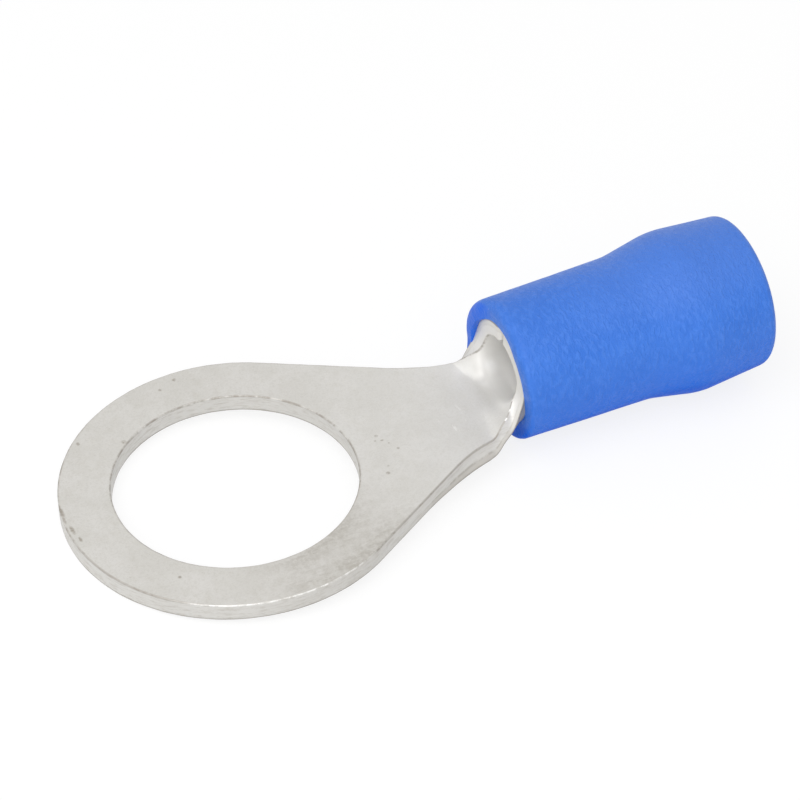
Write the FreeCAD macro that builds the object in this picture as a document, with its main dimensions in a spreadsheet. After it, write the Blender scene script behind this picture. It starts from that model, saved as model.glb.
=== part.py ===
import FreeCAD, Part
import math
import os
import Sketcher

# Insulated ring terminal for an M8 stud and 1.5 to 2.5 mm2 wire, in millimetres and degrees.
# The origin is the centre of the stud hole on the tongue's underside. +X runs from the ring to
# the wire entry, and +Z is up through the stud hole.

SIZES = (
    # Terminal body, stamped from one sheet and rolled
    ("sheet_thickness", 0.65, "tinned copper sheet"),
    ("stud_hole", 8.4, "diameter of the hole for the stud"),
    ("ring_width", 12.0, "outside diameter of the ring"),
    ("tongue_length", 4.02, "from the ring's outside to the barrel's front rim"),
    ("neck_width", 4.04, "width of the blank at its narrowest, by the rim"),
    ("neck_radius", 6.1, "hollow radius of each side of the tongue at the neck"),
    ("curl_length", 1.62, "length over which the flat sheet curls up to the barrel"),
    ("shoulder_rise", 0.6, "extra half width of the blank where it meets the rim"),
    ("punch_rounding", 0.05, "rounding that the punch leaves on upper edges"),
    ("wire_bore", 2.4, "inside diameter of the rolled barrel"),
    ("barrel_length", 4.9, "length of the rolled barrel"),
    ("barrel_drop", 0.32, "how far the barrel hangs below the tongue's underside"),
    ("seam_gap", 0.06, "gap where the rolled edges butt"),
    ("serration_depth", 0.08, "depth of each groove round the wire bore"),
    ("serration_width", 0.3, "width of each groove round the wire bore"),
    ("serration_pitch", 0.9, "from one groove to the next"),
    ("serration_start", 1.4, "from the barrel's front rim to the first groove"),
    # Insulation sleeve, moulded and pressed over the barrel
    ("sleeve_lead", 0.07, "how far the sleeve's front lies ahead of the barrel's rim"),
    ("sleeve_press", 0.01, "gap all round between the barrel and the sleeve's bore"),
    ("sleeve_wall", 0.66, "wall at the sleeve's front"),
    ("sleeve_draft", 0.9, "angle at which the front part widens to the rear"),
    ("flare_lag", 0.03, "from the barrel's end to where the outside flares"),
    ("flare_run", 1.8, "length of the flare"),
    ("flare_rise", 0.36, "how far the outside steps out over the flare"),
    ("flare_radius", 3.0, "rounding at both ends of the flare"),
    ("entry_length", 2.7, "from the end of the flare to the sleeve's rear"),
    ("entry_taper", 4.5, "angle at which the outside narrows to the rear"),
    ("entry_step", 0.29, "how much wider each side of the wire entry is than the barrel"),
    ("funnel_run", 1.6, "length of the funnel from the entry down to the barrel"),
    ("front_rounding", 0.15, "rounding of the sleeve's front rim outside"),
    ("mouth_rounding", 0.12, "rounding of the sleeve's front rim inside"),
    ("rear_rounding", 0.3, "rounding of the sleeve's rear rim outside"),
    ("lip_rounding", 0.15, "rounding of the sleeve's rear rim inside"),
)
SERRATIONS = 3
# Shares of the way from flat to rolled where the sheet's section is drawn
CURL_STATIONS = (0.3, 0.5, 0.7, 0.85, 1.0)
# How late on that way the sheet curls, sinks and widens
CURL_POWER = 3
DROP_POWER = 5
SHOULDER_POWER = 5
# Places closer than this count as the same
TOUCH = 1e-4

doc = FreeCAD.newDocument("ring_terminal")
sizes = doc.addObject("Spreadsheet::Sheet", "sizes")
for row, (alias, value, note) in enumerate(SIZES, start=1):
    sizes.set(f"A{row}", note)
    sizes.set(f"B{row}", str(value))
    sizes.setAlias(f"B{row}", alias)
doc.recompute()


def cell(alias):
    """Expression that reads one driving size."""
    return f"<<sizes>>.{alias}"


def value_of(expression):
    """Number that an expression gives now, so that a sketch is drawn close to its solution."""
    found = sizes.evalExpression(expression)
    return float(getattr(found, "Value", found))


RING_RADIUS = f"({cell('ring_width')} / 2)"
BARREL_START = f"({RING_RADIUS} + {cell('tongue_length')})"
CURL_START = f"({BARREL_START} - {cell('curl_length')})"
NECK_CENTRE_SIDE = f"({cell('neck_width')} / 2 + {cell('neck_radius')})"
BARREL_RADIUS = f"({cell('wire_bore')} / 2 + {cell('sheet_thickness')})"
MEAN_RADIUS = f"(({cell('wire_bore')} + {cell('sheet_thickness')}) / 2)"
AXIS_HEIGHT = f"({BARREL_RADIUS} - {cell('barrel_drop')})"
SERRATION_ALONG = f"({BARREL_START} + {cell('serration_start')})"

# Places along the sleeve count from its own front
SLEEVE_START = f"({BARREL_START} - {cell('sleeve_lead')})"
BARREL_END = f"({cell('sleeve_lead')} + {cell('barrel_length')})"
FUNNEL_END = f"({BARREL_END} + {cell('funnel_run')})"
FLARE_FOOT = f"({BARREL_END} + {cell('flare_lag')})"
FLARE_CREST = f"({FLARE_FOOT} + {cell('flare_run')})"
SLEEVE_REAR = f"({FLARE_CREST} + {cell('entry_length')})"
BORE_RADIUS = f"({BARREL_RADIUS} + {cell('sleeve_press')})"
ENTRY_RADIUS = f"({BORE_RADIUS} + {cell('entry_step')})"
FRONT_RADIUS = f"({BORE_RADIUS} + {cell('sleeve_wall')})"
FOOT_RADIUS = f"({FRONT_RADIUS} + {FLARE_FOOT} * tan({cell('sleeve_draft')} * 1deg))"
CREST_RADIUS = f"({FOOT_RADIUS} + {cell('flare_rise')})"
REAR_RADIUS = f"({CREST_RADIUS} - {cell('entry_length')} * tan({cell('entry_taper')} * 1deg))"


def blank_half_width(along):
    """Expression for half the blank's width at a place along the neck."""
    return (f"({NECK_CENTRE_SIDE} - sqrt({cell('neck_radius')}^2"
            f" - ({BARREL_START} - {along})^2))")


# Sketching

START, END, CENTRE = 1, 2, 3
ORIGIN = (-1, START)
V_AXIS = -2
RIGHT_ANGLE = math.pi / 2


def constrain(sketch, kind, *items):
    sketch.addConstraint(Sketcher.Constraint(kind, *items))


def drive(sketch, kind, items, expression):
    """Dimension of a sketch that follows an expression."""
    value = value_of(expression)
    if kind == "Angle":
        value = math.radians(value)
    place = sketch.addConstraint(Sketcher.Constraint(kind, *items, value))
    sketch.setExpression(f"Constraints[{place}]", expression)


def point(across, up):
    return FreeCAD.Vector(across, up, 0)


def line(sketch, start, end):
    return sketch.addGeometry(Part.LineSegment(point(*start), point(*end)))


def circle(centre, radius):
    return Part.Circle(point(*centre), FreeCAD.Vector(0, 0, 1), radius)


def arc(sketch, centre, radius, first, last):
    """Arc drawn anticlockwise between two angles in radians."""
    return sketch.addGeometry(Part.ArcOfCircle(circle(centre, radius), first, last))


def polygon(sketch, corners):
    """Closed run of straight lines through the corners, each starting at its own corner."""
    following = corners[1:] + corners[:1]
    sides = [line(sketch, start, end) for start, end in zip(corners, following)]
    for side, after in zip(sides, sides[1:] + sides[:1]):
        constrain(sketch, "Coincident", side, END, after, START)
    return sides


def add_sketch(body, name, plane, offset=None):
    """Sketch on one of the body's origin planes, moved along its normal by an expression."""
    sketch = body.newObject("Sketcher::SketchObject", name)
    base = next(part for part in body.Origin.OriginFeatures if part.Role == plane)
    sketch.AttachmentSupport = [(base, "")]
    sketch.MapMode = "FlatFace"
    if offset:
        sketch.setExpression("AttachmentOffset.Base.z", offset)
    return sketch


def add_body(label):
    body = doc.addObject("PartDesign::Body", label)
    body.Label = label
    return body


def same(first, second):
    return abs(first - second) < TOUCH


def round_edges(body, name, radius, chosen):
    """Fillet on the edges of the body's last feature that the given test picks."""
    base = body.Tip
    fillet = body.newObject("PartDesign::Fillet", name)
    picked = [f"Edge{place}" for place, edge in enumerate(base.Shape.Edges, start=1)
              if chosen(edge)]
    fillet.Base = (base, picked)
    fillet.setExpression("Radius", cell(radius))
    doc.recompute()


# Terminal body

def draw_tongue(sketch):
    """Ring with its hole, and a tongue whose sides run tangent from the ring into the neck."""
    ring_radius = value_of(RING_RADIUS)
    hollow = value_of(cell("neck_radius"))
    neck_along = value_of(BARREL_START)
    neck_side = value_of(NECK_CENTRE_SIDE)
    curl = value_of(CURL_START)
    half_width = value_of(blank_half_width(CURL_START))
    reach = math.hypot(neck_along, neck_side)
    taper = math.atan2(neck_along, neck_side) - math.acos((ring_radius + hollow) / reach)
    lean = math.asin((neck_along - curl) / hollow)

    ring = arc(sketch, (0, 0), ring_radius, RIGHT_ANGLE - taper, 3 * RIGHT_ANGLE + taper)
    drive(sketch, "Radius", (ring,), RING_RADIUS)
    hole = sketch.addGeometry(circle((0, 0), value_of(cell("stud_hole")) / 2))
    drive(sketch, "Diameter", (hole,), cell("stud_hole"))
    for round_part in (ring, hole):
        constrain(sketch, "Coincident", round_part, CENTRE, *ORIGIN)
    end = line(sketch, (curl, half_width), (curl, -half_width))
    constrain(sketch, "Vertical", end)
    drive(sketch, "DistanceX", (*ORIGIN, end, START), CURL_START)

    leave = (ring_radius * math.sin(taper), ring_radius * math.cos(taper))
    meet = (neck_along - hollow * math.sin(taper), neck_side - hollow * math.cos(taper))
    left = line(sketch, meet, leave)
    left_neck = arc(sketch, (neck_along, neck_side), hollow,
                    3 * RIGHT_ANGLE - taper, 3 * RIGHT_ANGLE - lean)
    constrain(sketch, "Tangent", left, END, ring, START)
    constrain(sketch, "Tangent", left, START, left_neck, START)
    constrain(sketch, "Coincident", left_neck, END, end, START)
    drive(sketch, "DistanceY", (*ORIGIN, left_neck, CENTRE), NECK_CENTRE_SIDE)

    right = line(sketch, (leave[0], -leave[1]), (meet[0], -meet[1]))
    right_neck = arc(sketch, (neck_along, -neck_side), hollow,
                     RIGHT_ANGLE + lean, RIGHT_ANGLE + taper)
    constrain(sketch, "Tangent", right, START, ring, END)
    constrain(sketch, "Tangent", right, END, right_neck, END)
    constrain(sketch, "Coincident", right_neck, START, end, END)
    drive(sketch, "DistanceY", (right_neck, CENTRE, *ORIGIN), NECK_CENTRE_SIDE)
    for neck in (left_neck, right_neck):
        drive(sketch, "Radius", (neck,), cell("neck_radius"))
        drive(sketch, "DistanceX", (*ORIGIN, neck, CENTRE), BARREL_START)


def draw_flat_section(sketch):
    """Section across the tongue where it is still flat."""
    half_width = value_of(blank_half_width(CURL_START))
    top = value_of(cell("sheet_thickness"))
    bottom_side, right_side, top_side, left_side = polygon(
        sketch, ((-half_width, 0), (half_width, 0), (half_width, top), (-half_width, top)))
    for level in (bottom_side, top_side):
        constrain(sketch, "Horizontal", level)
    for upright in (right_side, left_side):
        constrain(sketch, "Vertical", upright)
    constrain(sketch, "Symmetric", bottom_side, START, bottom_side, END, *ORIGIN)
    drive(sketch, "DistanceX", (bottom_side, START, bottom_side, END),
          f"2 * {blank_half_width(CURL_START)}")
    drive(sketch, "DistanceY", (right_side, START, right_side, END), cell("sheet_thickness"))


def draw_rolled_section(sketch, mean_radius, centre_height, half_angle):
    """Section across rolled sheet: two arcs about one centre, closed by radial cut edges."""
    inner_radius = f"({mean_radius} - {cell('sheet_thickness')} / 2)"
    outer_radius = f"({mean_radius} + {cell('sheet_thickness')} / 2)"
    height = value_of(centre_height)
    first = -RIGHT_ANGLE - math.radians(value_of(half_angle))
    last = -RIGHT_ANGLE + math.radians(value_of(half_angle))
    inner = arc(sketch, (0, height), value_of(inner_radius), first, last)
    outer = arc(sketch, (0, height), value_of(outer_radius), first, last)
    constrain(sketch, "Coincident", inner, CENTRE, outer, CENTRE)
    constrain(sketch, "PointOnObject", inner, CENTRE, V_AXIS)
    constrain(sketch, "Horizontal", inner, START, inner, END)
    for pole, angle in ((START, first), (END, last)):
        ends = [(radius * math.cos(angle), height + radius * math.sin(angle))
                for radius in (value_of(inner_radius), value_of(outer_radius))]
        cut_edge = line(sketch, *ends)
        constrain(sketch, "Coincident", cut_edge, START, inner, pole)
        constrain(sketch, "Coincident", cut_edge, END, outer, pole)
        constrain(sketch, "PointOnObject", inner, CENTRE, cut_edge)
    drive(sketch, "DistanceY", (*ORIGIN, inner, CENTRE), centre_height)
    drive(sketch, "Radius", (inner,), inner_radius)
    drive(sketch, "Radius", (outer,), outer_radius)
    drive(sketch, "Angle", (inner,), f"2 * ({half_angle})")


def curl_section(body, way):
    """Section of the sheet at a share of the way from the flat tongue to the barrel.

    The curvature rises from none to the barrel's, the middle of the sheet sinks from the
    tongue's level to the barrel's bottom, and the width follows the blank's outline.
    """
    progress = math.sin(RIGHT_ANGLE * way)
    along = f"({CURL_START} + {cell('curl_length')} * {way})"
    mean_radius = f"({MEAN_RADIUS} / {progress ** CURL_POWER:.5f})"
    flat_level = f"{cell('sheet_thickness')} / 2"
    sink = f"({flat_level} + {MEAN_RADIUS} - {AXIS_HEIGHT}) * {progress ** DROP_POWER:.5f}"
    half_width = (f"({blank_half_width(along)}"
                  f" + {cell('shoulder_rise')} * {way ** SHOULDER_POWER:.5f})")
    sketch = add_sketch(body, f"curl_section_{round(100 * way)}", "YZ_Plane", along)
    draw_rolled_section(sketch, mean_radius, f"({flat_level} - {sink} + {mean_radius})",
                        f"{half_width} / {mean_radius} * 1rad")
    return sketch


def is_punched_edge(edge):
    """Upper edge of the ring, of the tongue's sides or of the stud hole."""
    box = edge.BoundBox
    top = value_of(cell("sheet_thickness"))
    return same(box.ZMin, top) and same(box.ZMax, top) and box.XMin < value_of(CURL_START) - TOUCH


def cut_serrations(body):
    """Grooves round the wire bore that grip the strands."""
    sketch = add_sketch(body, "serration_section", "XZ_Plane")
    height = value_of(AXIS_HEIGHT)
    first = value_of(SERRATION_ALONG)
    last = first + value_of(cell("serration_width"))
    bore = value_of(cell("wire_bore")) / 2
    floor = bore + value_of(cell("serration_depth"))
    axis = line(sketch, (first, height), (last, height))
    sketch.toggleConstruction(axis)
    inner, rear, outer, front = polygon(
        sketch, ((first, height + bore / 2), (last, height + bore / 2),
                 (last, height + floor), (first, height + floor)))
    for level in (axis, inner, outer):
        constrain(sketch, "Horizontal", level)
    for wall, pole in ((front, START), (rear, END)):
        constrain(sketch, "Vertical", wall)
        constrain(sketch, "PointOnObject", axis, pole, wall)
    drive(sketch, "DistanceY", (*ORIGIN, axis, START), AXIS_HEIGHT)
    drive(sketch, "DistanceX", (*ORIGIN, axis, START), SERRATION_ALONG)
    drive(sketch, "DistanceX", (axis, START, axis, END), cell("serration_width"))
    drive(sketch, "DistanceY", (axis, START, inner, START), f"{cell('wire_bore')} / 4")
    drive(sketch, "DistanceY", (axis, START, front, START),
          f"{cell('wire_bore')} / 2 + {cell('serration_depth')}")
    doc.recompute()
    groove = body.newObject("PartDesign::Groove", "serration")
    groove.Profile = sketch
    groove.ReferenceAxis = (sketch, ["Axis0"])
    groove.Angle = 360
    doc.recompute()
    pattern = body.newObject("PartDesign::LinearPattern", "serrations")
    pattern.Originals = [groove]
    long_axis = next(part for part in body.Origin.OriginFeatures if part.Role == "X_Axis")
    pattern.Direction = (long_axis, [""])
    pattern.Occurrences = SERRATIONS
    pattern.setExpression("Length", f"{cell('serration_pitch')} * {SERRATIONS - 1}")
    body.Tip = pattern
    doc.recompute()


def build_terminal_body():
    """Flat ring and tongue, the sheet curling up behind it, and the rolled wire barrel."""
    body = add_body("terminal_body")
    outline = add_sketch(body, "tongue_outline", "XY_Plane")
    draw_tongue(outline)
    tongue = body.newObject("PartDesign::Pad", "tongue")
    tongue.Profile = outline
    tongue.setExpression("Length", cell("sheet_thickness"))
    doc.recompute()

    flat_section = add_sketch(body, "flat_section", "YZ_Plane", CURL_START)
    draw_flat_section(flat_section)
    curl_sections = [curl_section(body, way) for way in CURL_STATIONS]
    doc.recompute()
    curl = body.newObject("PartDesign::AdditiveLoft", "curl")
    curl.Profile = flat_section
    curl.Sections = curl_sections
    doc.recompute()

    barrel_section = add_sketch(body, "barrel_section", "YZ_Plane", BARREL_START)
    draw_rolled_section(barrel_section, MEAN_RADIUS, AXIS_HEIGHT,
                        f"180deg - {cell('seam_gap')} / 2 / {MEAN_RADIUS} * 1rad")
    barrel = body.newObject("PartDesign::Pad", "barrel")
    barrel.Profile = barrel_section
    barrel.setExpression("Length", cell("barrel_length"))
    doc.recompute()

    round_edges(body, "punched_edges", "punch_rounding", is_punched_edge)
    cut_serrations(body)
    return body


# Insulation sleeve

def build_insulation_sleeve():
    """Moulded sleeve, turned about its own axis, which lies along the barrel's."""
    body = add_body("insulation_sleeve")
    body.setExpression("Placement.Base.x", SLEEVE_START)
    body.setExpression("Placement.Base.z", AXIS_HEIGHT)

    # Corners of the wall's section: along the axis, then out from it
    rear_corners = (
        (FLARE_FOOT, FOOT_RADIUS),
        (FLARE_CREST, CREST_RADIUS),
        (SLEEVE_REAR, REAR_RADIUS),
        (SLEEVE_REAR, ENTRY_RADIUS),
        (FUNNEL_END, ENTRY_RADIUS),
        (BARREL_END, BORE_RADIUS),
    )
    corners = (("0", BORE_RADIUS), ("0", FRONT_RADIUS), *rear_corners)
    section = add_sketch(body, "sleeve_section", "XZ_Plane")
    sides = polygon(section, tuple((value_of(along), value_of(out)) for along, out in corners))
    for side, (along, out) in zip(sides, corners):
        drive(section, "DistanceY", (*ORIGIN, side, START), out)
        if (along, out) in rear_corners:
            drive(section, "DistanceX", (*ORIGIN, side, START), along)
        else:
            constrain(section, "PointOnObject", side, START, V_AXIS)
    sleeve = body.newObject("PartDesign::Revolution", "sleeve")
    sleeve.Profile = section
    sleeve.ReferenceAxis = (section, ["H_Axis"])
    sleeve.Angle = 360
    doc.recompute()

    def ring_at(along, out):
        """Test for the round edge at a place along the sleeve and out from its axis."""
        place = value_of(along)
        radius = value_of(out)
        return lambda edge: (isinstance(edge.Curve, Part.Circle)
                             and same(edge.Curve.Radius, radius)
                             and same(edge.Curve.Center.x, place))

    round_edges(body, "flare_foot", "flare_radius", ring_at(FLARE_FOOT, FOOT_RADIUS))
    round_edges(body, "flare_crest", "flare_radius", ring_at(FLARE_CREST, CREST_RADIUS))
    round_edges(body, "front_rim", "front_rounding", ring_at("0", FRONT_RADIUS))
    round_edges(body, "mouth_rim", "mouth_rounding", ring_at("0", BORE_RADIUS))
    round_edges(body, "rear_rim", "rear_rounding", ring_at(SLEEVE_REAR, REAR_RADIUS))
    round_edges(body, "rear_lip", "lip_rounding", ring_at(SLEEVE_REAR, ENTRY_RADIUS))
    return body


def write_parts(bodies):
    """Check the whole document, then write each sub-part under its label."""
    doc.recompute()
    for item in doc.Objects:
        if {"Invalid", "Error"} & set(item.State):
            raise RuntimeError(f"{item.Label} failed: {item.State}")
    for body in bodies:
        if body.Shape.isNull() or not body.Shape.isValid() or len(body.Shape.Solids) != 1:
            raise RuntimeError(f"{body.Label} is not one sound solid")
    os.makedirs("parts", exist_ok=True)
    for body in bodies:
        body.Shape.exportStep(f"parts/{body.Label}.step")


write_parts([build_terminal_body(), build_insulation_sleeve()])
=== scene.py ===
import math

import bpy
import numpy as np
from mathutils import Matrix, Vector, noise
from mathutils.geometry import delaunay_2d_cdt


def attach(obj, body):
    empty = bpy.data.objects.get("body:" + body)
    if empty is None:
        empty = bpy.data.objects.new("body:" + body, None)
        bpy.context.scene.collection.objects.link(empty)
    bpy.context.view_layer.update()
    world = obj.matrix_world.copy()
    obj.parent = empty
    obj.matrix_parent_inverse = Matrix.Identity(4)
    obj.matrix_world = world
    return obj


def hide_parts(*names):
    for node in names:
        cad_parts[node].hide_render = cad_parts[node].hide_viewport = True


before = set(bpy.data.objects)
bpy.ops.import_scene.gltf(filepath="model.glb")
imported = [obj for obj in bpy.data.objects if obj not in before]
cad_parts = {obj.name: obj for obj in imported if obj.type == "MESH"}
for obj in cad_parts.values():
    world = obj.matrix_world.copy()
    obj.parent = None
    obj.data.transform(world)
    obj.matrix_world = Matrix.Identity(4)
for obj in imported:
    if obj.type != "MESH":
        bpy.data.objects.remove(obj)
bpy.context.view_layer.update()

MM = 0.001

# Sizes of the solids in millimetres, in the same frame
THICK = 0.65
HALF = THICK / 2
HOLE_RADIUS = 4.2
RING_RADIUS = 6.0
NECK_RADIUS = 6.1
NECK_HALF = 2.02
RIM_X = 10.02
BARREL_LENGTH = 4.9
REAR_X = RIM_X + BARREL_LENGTH
BORE_RADIUS = 1.2
MEAN_RADIUS = BORE_RADIUS + HALF
BARREL_DROP = 0.32
AXIS_Z = BORE_RADIUS + THICK - BARREL_DROP
SEAM_GAP = 0.06
SEAM = math.pi * MEAN_RADIUS - SEAM_GAP / 2
GROOVES = (11.42, 12.32, 13.22)
GROOVE_WIDTH = 0.3
GROOVE_DEPTH = 0.08
GROOVE_SLOPE = 0.03
SLEEVE_X = 9.95
SLEEVE_BORE = 1.86
SLEEVE_ENTRY = 2.15
SLEEVE_WALL = 0.66
FLARE = 0.36

# The sleeve's places along it, from its front end
FOOT = 5.0
CREST = 6.8
SLEEVE_LENGTH = 9.5
BARREL_END = 4.97
FUNNEL_END = 6.57

# The blank's shoulders and the barrel's corners
SHOULDER_X = 9.45
SHOULDER_RISE = 0.98
CORNER = 0.17

# The cut edge: its roundings, its nicks, and the slanted face that the shear tore on the neck's near side
TOP_ROUND = 0.055
TOP_UNEVEN = 0.45
TOP_ROWS = 6
LOW_ROUND = 0.03
LOW_UNEVEN = 0.4
LOW_ROWS = 4
NICK = 0.006
SLANT = 0.2
SLANT_RISE = (5.5, 8.0)
SLANT_FALL = (8.2, 9.4)
# Rows between the roundings: level, inset, and the shares of the nicks and of the slant
EDGE_ROWS = ((0.14, 0.004, 0.5, 0.0), (0.0, 0.0, 1.0, 0.15), (-0.16, 0.006, 1.0, 0.7))

# Each side starts to bend at a distance from the middle. It falls off along the tongue, from 2 mm at the
# first value and by a factor of e over the second, and is nothing past CURL_ENDS
CURL_START = 2
FAR_CURL = (9.12, 0.27)
NEAR_CURL = (8.61, 0.27)
CURL_ENDS = (9.9, 10.5)
# The bend eases in over a share of that distance
EASE_SHARE = 1.8
EASE_MOST = 0.6
EASE_LEAST = 0.001
# How tight the bend is along the tongue, as a share of the barrel's own
TIGHT_RISE = (8.3, 8.6)
TIGHT_X = (8.6, 9.0, 9.4, 9.8, 10.2)
FAR_TIGHT = (0.2, 0.35, 0.58, 0.98, 1.0)
NEAR_TIGHT = (0.08, 0.29, 0.48, 0.88, 1.0)
# How far the trough's bottom has sunk there
SINK_X = (8.8, 9.1, 9.4, 9.7, 10.0, 10.3, 10.6)
SINK_Z = (0.0, 0.0, 0.02, 0.065, 0.15, 0.25, 0.32)
# The squeezed sheet swells a little under the near side of the curl
SWELL = 0.14
SWELL_RISE = (9.1, 9.75)
SWELL_FALL = (9.95, 10.3)
SWELL_INSET = (0.02, 0.35)
# The trough lies a little off-centre
LEAN = -0.05
LEAN_RISE = (7.6, 8.9)
LEAN_FALL = (9.6, 10.02)
# The mouth is squashed a little, so that its top lies level with the barrel's
SQUASH = 0.8
SQUASH_RISE = (9.6, 10.0)

# Steps of the terminal's mesh along its outline
RING_STEP = 0.14
SIDE_STEP = 0.16
FLOW_STEP = 0.07
FLOW_GAP = 0.1
SHOULDER_POINTS = 26
RIM_STEP = 0.09
CORNER_STEP = 0.03
SEAM_STEP = 0.2
REAR_STEP = 0.16
HOLE_STEP = 0.13
LEAST_STEP = 0.012
# A guard ring of points follows the edge at this inset, and the faces' inner points keep clear of it
GUARD = 0.11
ROUND_MARGIN = 0.02
OUTLINE_CLEAR = 0.035
HOLE_CLEAR = 0.06
MERGE_WITHIN = 1e-6
# Grid of the faces, denser where the sheet bends: from, to and step along the part
GRID = ((-6, 8.25, 0.42), (8.25, 8.85, 0.1), (8.85, 10.2, 0.05), (10.2, 10.7, 0.09), (10.7, REAR_X, 0.14))
# Its rows run out to GRID_REACH, and the ring's near side past GRID_SPLIT has rows of its own
GRID_REACH = 6.1
GRID_SPLIT = -4.9
GROOVE_REACH = 4.6
GROOVE_STEP = 0.12

# Rows and columns of the bend's tables, along the part and outward from its middle
ROW_STEP = 0.01
COLUMN_STEP = 0.01
BEND_X = (8.0, 10.7)
BEND_REACH = 6.2
ROWS = np.concatenate([np.arange(*BEND_X, ROW_STEP), [REAR_X + 0.1]])
COLUMNS = np.arange(0, BEND_REACH, COLUMN_STEP)


def smooth(value, low, high):
    """0 below low, 1 above high, and an even ease between them."""
    t = np.clip((np.asarray(value, float) - low) / (high - low), 0, 1)
    return t * t * (3 - 2 * t)


def plateau(value, rise, fall):
    """1 between an ease up and an ease down, and 0 outside them."""
    return smooth(value, *rise) * (1 - smooth(value, *fall))


def wobble(points, size, seed):
    """Smooth noise of about -1 to 1 at points in millimetres, with lumps of a given size."""
    spots = np.asarray(points, float) / size + seed
    return np.array([noise.noise(Vector(spot)) for spot in spots])


# Terminal body: the outline of its flat blank

def arc_points(centre, radius, first, last, step):
    count = max(2, int(abs(last - first) * radius / step) + 1)
    turn = np.linspace(first, last, count)
    return np.stack([centre[0] + radius * np.cos(turn), centre[1] + radius * np.sin(turn)], 1)


def run_points(start, end, step):
    count = max(2, int(math.dist(start, end) / step) + 1)
    return np.linspace(start, end, count)


def neck_half(x):
    """Half the tongue's width along the neck's hollow."""
    return NECK_HALF + NECK_RADIUS - np.sqrt(NECK_RADIUS ** 2 - (RIM_X - np.asarray(x)) ** 2)


def thin_out(points):
    """Points without those that lie too close behind another."""
    kept = [points[0]]
    for spot in points[1:]:
        if math.dist(spot, kept[-1]) > LEAST_STEP:
            kept.append(spot)
    return np.array(kept)


def half_outline():
    """Outline of the blank's far half, from the ring's tip to the barrel's rear end."""
    centre_side = NECK_HALF + NECK_RADIUS
    reach = math.hypot(RIM_X, centre_side)
    taper = math.atan2(RIM_X, centre_side) - math.acos((RING_RADIUS + NECK_RADIUS) / reach)
    leave = (RING_RADIUS * math.sin(taper), RING_RADIUS * math.cos(taper))
    meet = (RIM_X - NECK_RADIUS * math.sin(taper), centre_side - NECK_RADIUS * math.cos(taper))
    ring = arc_points((0, 0), RING_RADIUS, math.pi, math.pi / 2 - taper, RING_STEP)
    side = run_points(leave, meet, SIDE_STEP)
    flow_x = np.arange(meet[0] + FLOW_GAP, SHOULDER_X, FLOW_STEP)
    flow = np.stack([flow_x, neck_half(flow_x)], 1)
    turn = np.linspace(0, math.pi / 2, SHOULDER_POINTS)
    shoulder_x = SHOULDER_X + (RIM_X - SHOULDER_X) * np.sin(turn)
    shoulder = np.stack([shoulder_x, neck_half(shoulder_x) + SHOULDER_RISE * (1 - np.cos(turn))], 1)
    low = SEAM - CORNER
    rim = run_points((RIM_X, shoulder[-1][1]), (RIM_X, low), RIM_STEP)
    front_corner = arc_points((RIM_X + CORNER, low), CORNER, math.pi, math.pi / 2, CORNER_STEP)
    seam_edge = run_points((RIM_X + CORNER, SEAM), (REAR_X - CORNER, SEAM), SEAM_STEP)
    rear_corner = arc_points((REAR_X - CORNER, low), CORNER, math.pi / 2, 0, CORNER_STEP)
    rear = run_points((REAR_X, low), (REAR_X, 0), REAR_STEP)
    runs = (ring, side, flow, shoulder, rim, front_corner, seam_edge, rear_corner, rear)
    return thin_out(np.concatenate(runs))


def whole_outline():
    upper = half_outline()
    lower = (upper[1:-1] * (1, -1))[::-1]
    return np.concatenate([upper, lower])


def hole_outline():
    count = int(2 * math.pi * HOLE_RADIUS / HOLE_STEP)
    turn = np.linspace(0, 2 * math.pi, count, endpoint=False)
    return np.stack([HOLE_RADIUS * np.cos(turn), HOLE_RADIUS * np.sin(turn)], 1)


def loop_normals(loop):
    """Left-hand normal of a closed loop at each point."""
    ahead = np.roll(loop, -1, 0) - loop
    behind = loop - np.roll(loop, 1, 0)
    tangent = ahead / np.linalg.norm(ahead, axis=1)[:, None]
    tangent = tangent + behind / np.linalg.norm(behind, axis=1)[:, None]
    tangent = tangent / np.linalg.norm(tangent, axis=1)[:, None]
    return np.stack([-tangent[:, 1], tangent[:, 0]], 1)


def inside(points, loop):
    """Which points lie inside a closed loop."""
    x, y = points[:, 0], points[:, 1]
    result = np.zeros(len(points), bool)
    for (ax, ay), (bx, by) in zip(loop, np.roll(loop, -1, 0)):
        crosses = (ay > y) != (by > y)
        if crosses.any():
            result ^= crosses & (x < ax + (y - ay) / (by - ay) * (bx - ax))
    return result


def distance_to(points, loop):
    """Distance of each point from a closed loop."""
    best = np.full(len(points), np.inf)
    for start, end in zip(loop, np.roll(loop, -1, 0)):
        run = end - start
        share = np.clip(((points - start) @ run) / (run @ run), 0, 1)
        best = np.minimum(best, np.linalg.norm(points - start - share[:, None] * run, axis=1))
    return best


# Terminal body: how the blank is bent

def eased_table(x, xs, values):
    """Smooth curve through a table's points."""
    xs, values = np.array(xs), np.array(values)
    slope = np.gradient(values, xs)
    slope[0] = slope[-1] = 0.0
    place = np.clip(np.searchsorted(xs, x, side="right") - 1, 0, len(xs) - 2)
    span = xs[place + 1] - xs[place]
    t = np.clip((x - xs[place]) / span, 0, 1)
    starts = (2 * t ** 3 - 3 * t ** 2 + 1) * values[place] + (t ** 3 - 2 * t ** 2 + t) * slope[place] * span
    ends = (3 * t ** 2 - 2 * t ** 3) * values[place + 1] + (t ** 3 - t ** 2) * slope[place + 1] * span
    return starts + ends


def running_sum(rate):
    """Sum over the columns, up to each one's middle."""
    return np.cumsum(rate, 1) * COLUMN_STEP - rate * COLUMN_STEP / 2


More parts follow.
